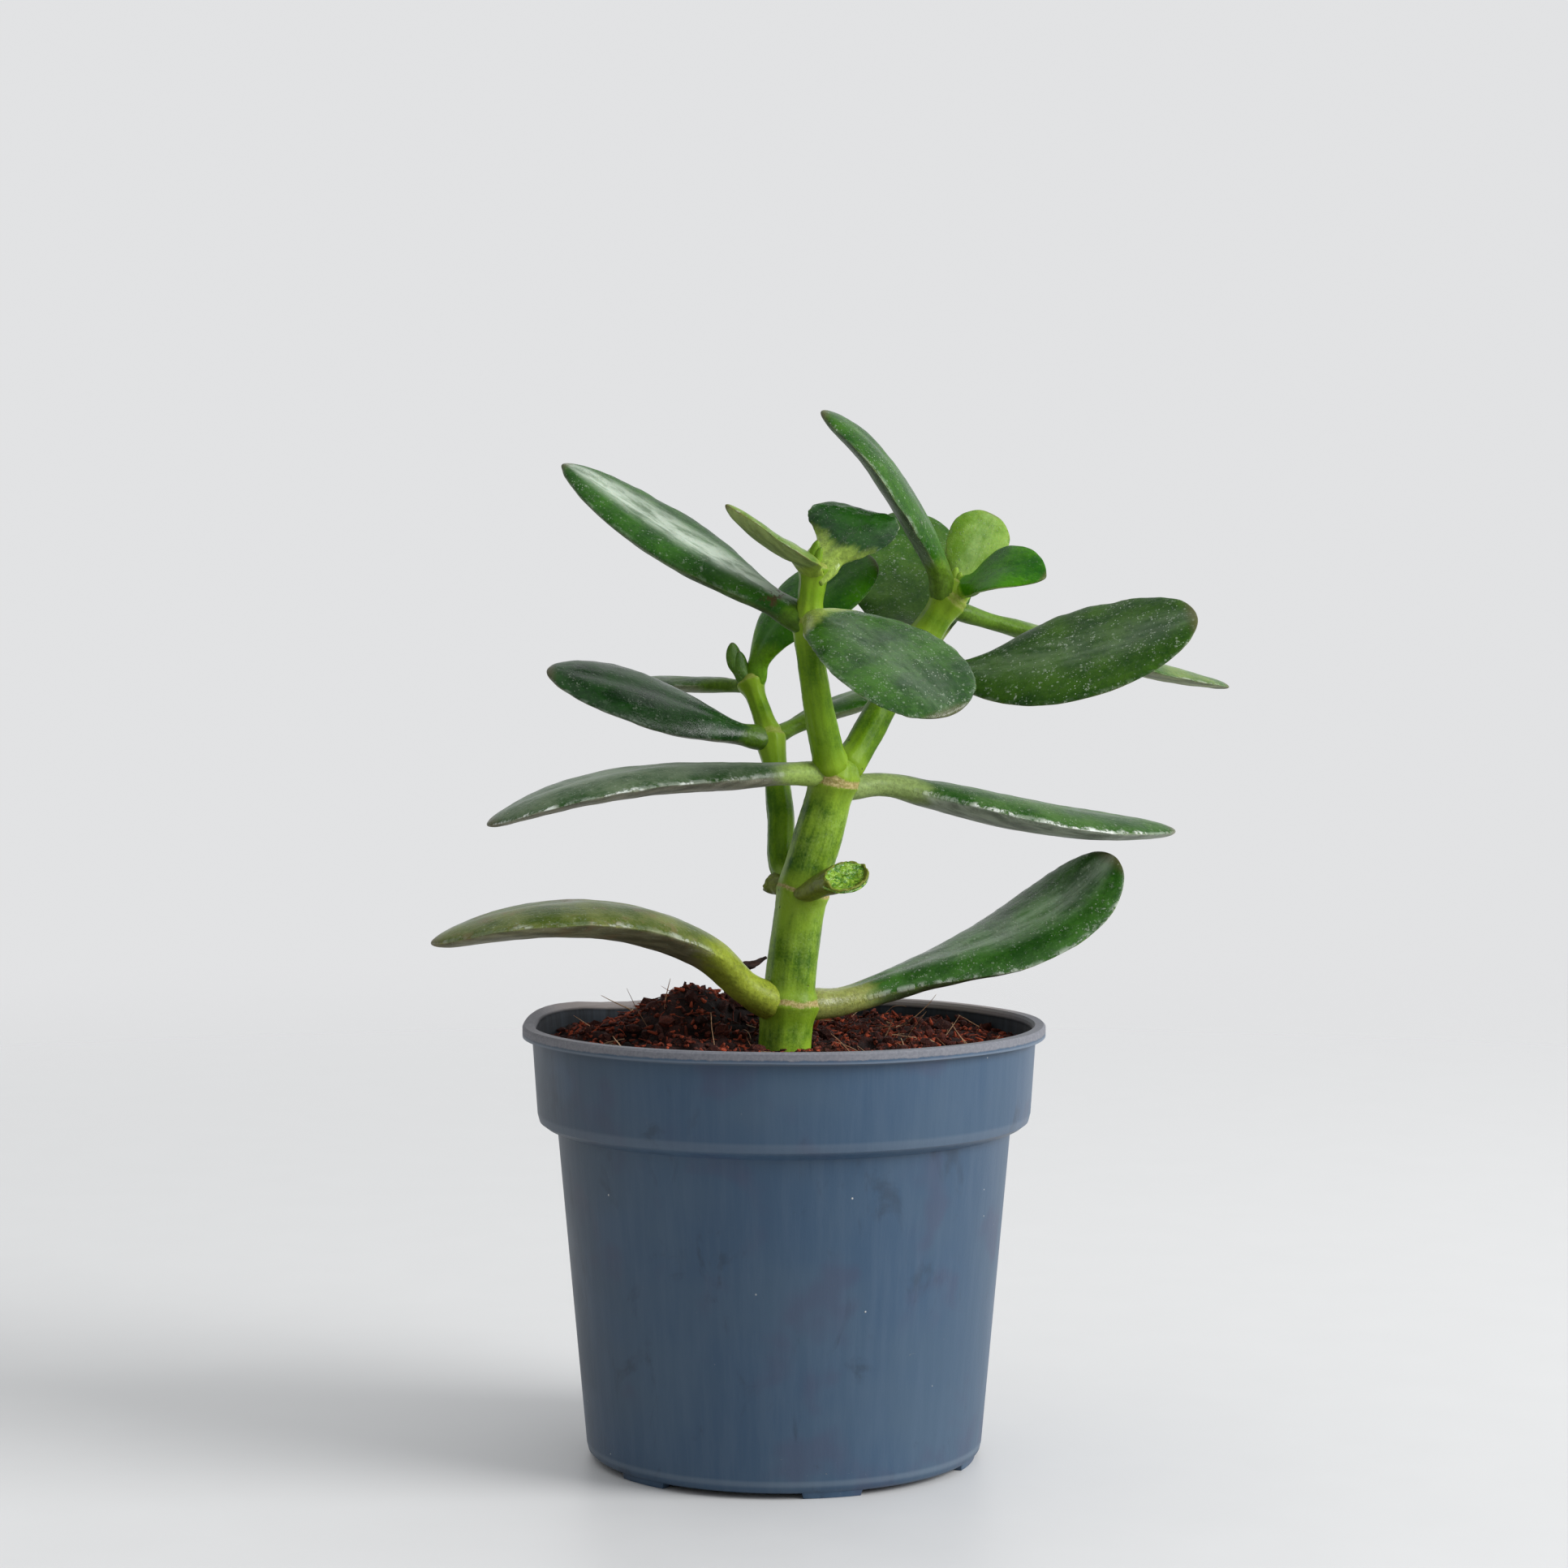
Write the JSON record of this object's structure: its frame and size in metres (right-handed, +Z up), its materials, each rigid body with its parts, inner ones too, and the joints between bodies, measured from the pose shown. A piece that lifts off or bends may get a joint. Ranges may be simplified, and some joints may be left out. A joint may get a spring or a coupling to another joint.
{
  "type": "potted jade plant",
  "caption": "Young jade plant with thick oval leaves on a forked green stem, rooted in coir soil in a blue-grey plastic nursery pot with a flanged rim and feet.",
  "frame": {"origin": "centre of the pot, in the plane that its feet stand on", "axes": "+Z up along the pot's axis, +X to the side of the long lower right leaf, -Y to the front"},
  "size_m": [0.1632, 0.1048, 0.21],
  "materials": {
    "pot_plastic": "matte blue-grey plastic, dusty at the rim",
    "coir": "loose red-brown coconut fibre, dry",
    "bark": "dark rough bark",
    "root": "pale fleshy root, matte",
    "stem": "fleshy green stem, satin",
    "leaf": "fleshy dark green leaf, waxy, pale specks",
    "young_leaf": "fleshy light green leaf, waxy",
    "torn_leaf": "torn leaf stalk with moist bright green flesh"
  },
  "bodies": {
    "root": {"pot": "pot_plastic", "soil": "coir", "bark_chip": "bark", "roots": "root", "main_stem": "stem", "front_branch": "stem", "right_branch": "stem", "back_branch": "stem", "leaf_low_left": "leaf", "leaf_low_right": "leaf", "leaf_stump_left": "torn_leaf", "leaf_stump_right": "torn_leaf", "leaf_middle_left": "leaf", "leaf_middle_right": "leaf", "leaf_front_left": "leaf", "leaf_front_right": "leaf", "leaf_top_left": "young_leaf", "leaf_top_right": "leaf", "leaf_right_broad": "leaf", "leaf_right_behind": "leaf", "leaf_right_tall": "leaf", "leaf_right_far": "leaf", "leaf_young_left": "young_leaf", "leaf_young_right": "young_leaf", "leaf_back_left": "leaf", "leaf_back_right": "leaf", "leaf_back_up": "leaf", "leaf_back_far": "leaf", "bud_front": "young_leaf", "bud_right": "young_leaf", "bud_back": "young_leaf"}
  },
  "joints": []
}
